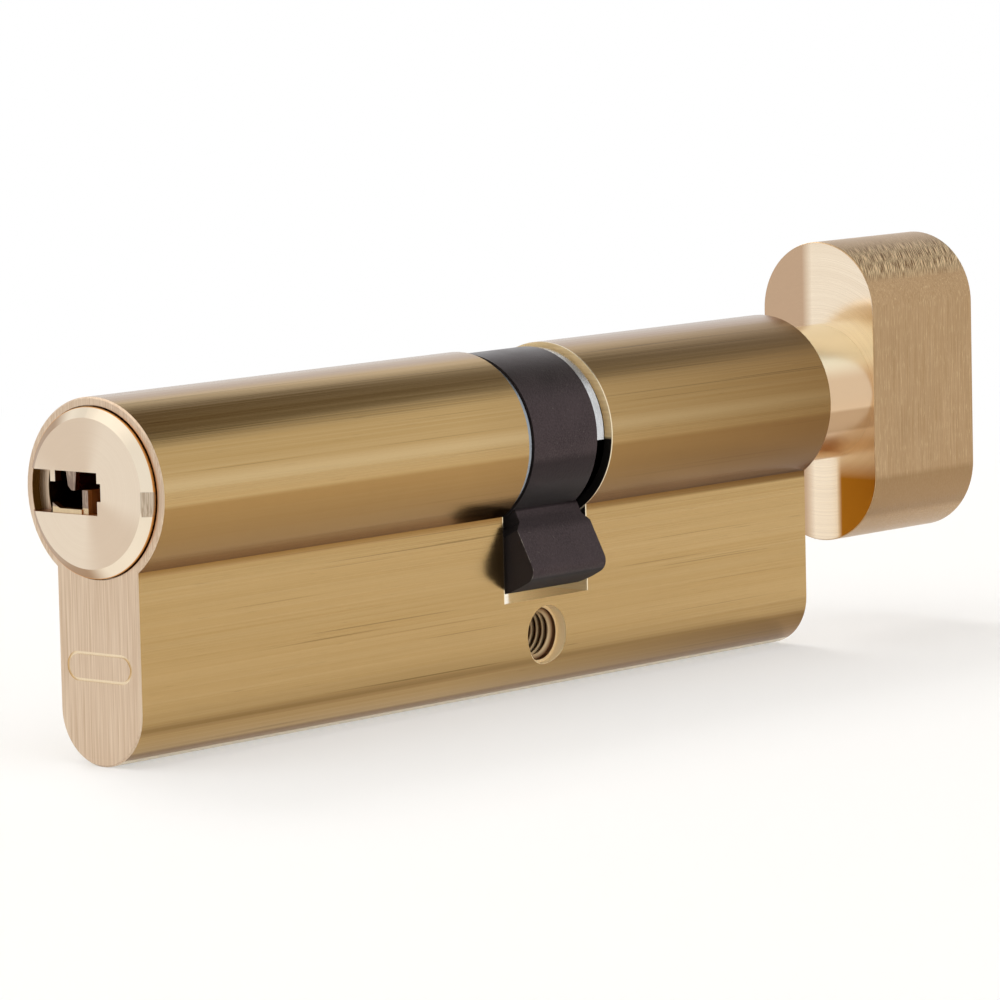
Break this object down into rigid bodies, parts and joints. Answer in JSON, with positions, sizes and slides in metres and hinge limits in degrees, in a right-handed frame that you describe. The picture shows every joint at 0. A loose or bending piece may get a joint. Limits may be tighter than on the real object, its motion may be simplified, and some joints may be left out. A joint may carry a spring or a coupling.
{
  "type": "euro profile thumbturn lock cylinder",
  "caption": "Brass euro profile lock cylinder: keyed plug on one side, thumbturn knob on the other, steel cam between, held by one M5 screw through its pillar.",
  "frame": {"origin": "Centre of the M5 fixing-screw hole, halfway through the pillar. Lengths of a profile cylinder are counted from it.", "axes": "+Y along the barrel from the key side to the thumbturn side, +Z from the pillar up to the barrel, +X towards the side on which the cam's nose rests."},
  "size_m": [0.017, 0.1214, 0.0396],
  "materials": {
    "body_brass": "drawn and polished along the barrel, brushed on the end faces",
    "plug_brass": "satin turned face",
    "knob_brass": "brushed, turned rings on the inner face",
    "pin_brass": "turned",
    "pin_steel": "turned and hardened",
    "guard_steel": "hardened, ground",
    "spring_steel": "bright spring wire",
    "ring_steel": "bright zinc-plated spring steel",
    "cam_steel": "sintered steel, burnished dark brown-black"
  },
  "bodies": {
    "housing": {"profile_body": "body_brass", "chamber_plug_1": "body_brass", "chamber_plug_2": "body_brass", "chamber_plug_3": "body_brass", "chamber_plug_4": "body_brass", "chamber_plug_5": "body_brass", "chamber_plug_6": "body_brass", "driver_spring_1": "spring_steel", "driver_spring_2": "spring_steel", "driver_spring_3": "spring_steel", "driver_spring_4": "spring_steel", "driver_spring_5": "spring_steel", "driver_spring_6": "spring_steel", "body_guard_pin_1": "guard_steel", "body_guard_pin_2": "guard_steel"},
    "key_plug": {"key_plug": "plug_brass", "plug_guard_pin_1": "guard_steel", "plug_guard_pin_2": "guard_steel", "plug_retaining_ring": "ring_steel"},
    "clutch": {"clutch_slider": "guard_steel"},
    "cam": {"cam": "cam_steel"},
    "thumbturn": {"turn_shaft": "plug_brass", "turn_retaining_ring": "ring_steel", "thumb_knob": "knob_brass", "knob_grub_screw": "guard_steel", "clutch_spring": "spring_steel"},
    "driver_pin_1": {"driver_pin_1": "pin_steel"},
    "key_pin_1": {"key_pin_1": "pin_brass"},
    "driver_pin_2": {"driver_pin_2": "pin_steel"},
    "key_pin_2": {"key_pin_2": "pin_brass"},
    "driver_pin_3": {"driver_pin_3": "pin_steel"},
    "key_pin_3": {"key_pin_3": "pin_brass"},
    "driver_pin_4": {"driver_pin_4": "pin_steel"},
    "key_pin_4": {"key_pin_4": "pin_brass"},
    "driver_pin_5": {"driver_pin_5": "pin_steel"},
    "key_pin_5": {"key_pin_5": "pin_brass"},
    "driver_pin_6": {"driver_pin_6": "pin_steel"},
    "key_pin_6": {"key_pin_6": "pin_brass"}
  },
  "joints": [
    {"name": "thumbturn_turn", "type": "hinge", "parent": "housing", "child": "thumbturn", "pos_m": [0, 0.04, 0.0187], "axis": [0, 1, 0], "continuous": true},
    {"name": "cam_turn", "type": "hinge", "parent": "housing", "child": "cam", "pos_m": [0, 0, 0.0187], "axis": [0, 1, 0], "continuous": true},
    {"name": "key_plug_turn", "type": "hinge", "parent": "housing", "child": "key_plug", "pos_m": [0, -0.055, 0.0187], "axis": [0, 1, 0], "continuous": true},
    {"name": "clutch_slide", "type": "slide", "parent": "key_plug", "child": "clutch", "axis": [0, 1, 0], "range_m": [0, 0.0014], "stiffness_N_per_m": 100, "springref_m": -0.004, "deforming": ["clutch_spring"]},
    {"name": "driver_pin_1_slide", "type": "slide", "parent": "housing", "child": "driver_pin_1", "axis": [0, 0, 1], "range_m": [-0.0012, 0], "stiffness_N_per_m": 150, "springref_m": 0.004, "deforming": ["driver_spring_1"]},
    {"name": "driver_pin_2_slide", "type": "slide", "parent": "housing", "child": "driver_pin_2", "axis": [0, 0, 1], "range_m": [-0.0012, 0], "stiffness_N_per_m": 150, "springref_m": 0.004, "deforming": ["driver_spring_2"]},
    {"name": "driver_pin_3_slide", "type": "slide", "parent": "housing", "child": "driver_pin_3", "axis": [0, 0, 1], "range_m": [-0.0012, 0], "stiffness_N_per_m": 150, "springref_m": 0.004, "deforming": ["driver_spring_3"]},
    {"name": "driver_pin_4_slide", "type": "slide", "parent": "housing", "child": "driver_pin_4", "axis": [0, 0, 1], "range_m": [-0.0012, 0], "stiffness_N_per_m": 150, "springref_m": 0.004, "deforming": ["driver_spring_4"]},
    {"name": "driver_pin_5_slide", "type": "slide", "parent": "housing", "child": "driver_pin_5", "axis": [0, 0, 1], "range_m": [-0.0012, 0], "stiffness_N_per_m": 150, "springref_m": 0.004, "deforming": ["driver_spring_5"]},
    {"name": "driver_pin_6_slide", "type": "slide", "parent": "housing", "child": "driver_pin_6", "axis": [0, 0, 1], "range_m": [-0.0012, 0], "stiffness_N_per_m": 150, "springref_m": 0.004, "deforming": ["driver_spring_6"]},
    {"name": "key_pin_1_slide", "type": "slide", "parent": "key_plug", "child": "key_pin_1", "axis": [0, 0, 1], "range_m": [0, 0.0012]},
    {"name": "key_pin_2_slide", "type": "slide", "parent": "key_plug", "child": "key_pin_2", "axis": [0, 0, 1], "range_m": [0, 0.0012]},
    {"name": "key_pin_3_slide", "type": "slide", "parent": "key_plug", "child": "key_pin_3", "axis": [0, 0, 1], "range_m": [0, 0.0012]},
    {"name": "key_pin_4_slide", "type": "slide", "parent": "key_plug", "child": "key_pin_4", "axis": [0, 0, 1], "range_m": [0, 0.0012]},
    {"name": "key_pin_5_slide", "type": "slide", "parent": "key_plug", "child": "key_pin_5", "axis": [0, 0, 1], "range_m": [0, 0.0012]},
    {"name": "key_pin_6_slide", "type": "slide", "parent": "key_plug", "child": "key_pin_6", "axis": [0, 0, 1], "range_m": [0, 0.0012]}
  ],
  "couplings": [
    {"joint": "cam_turn", "follows": "thumbturn_turn", "ratio": 1}
  ]
}
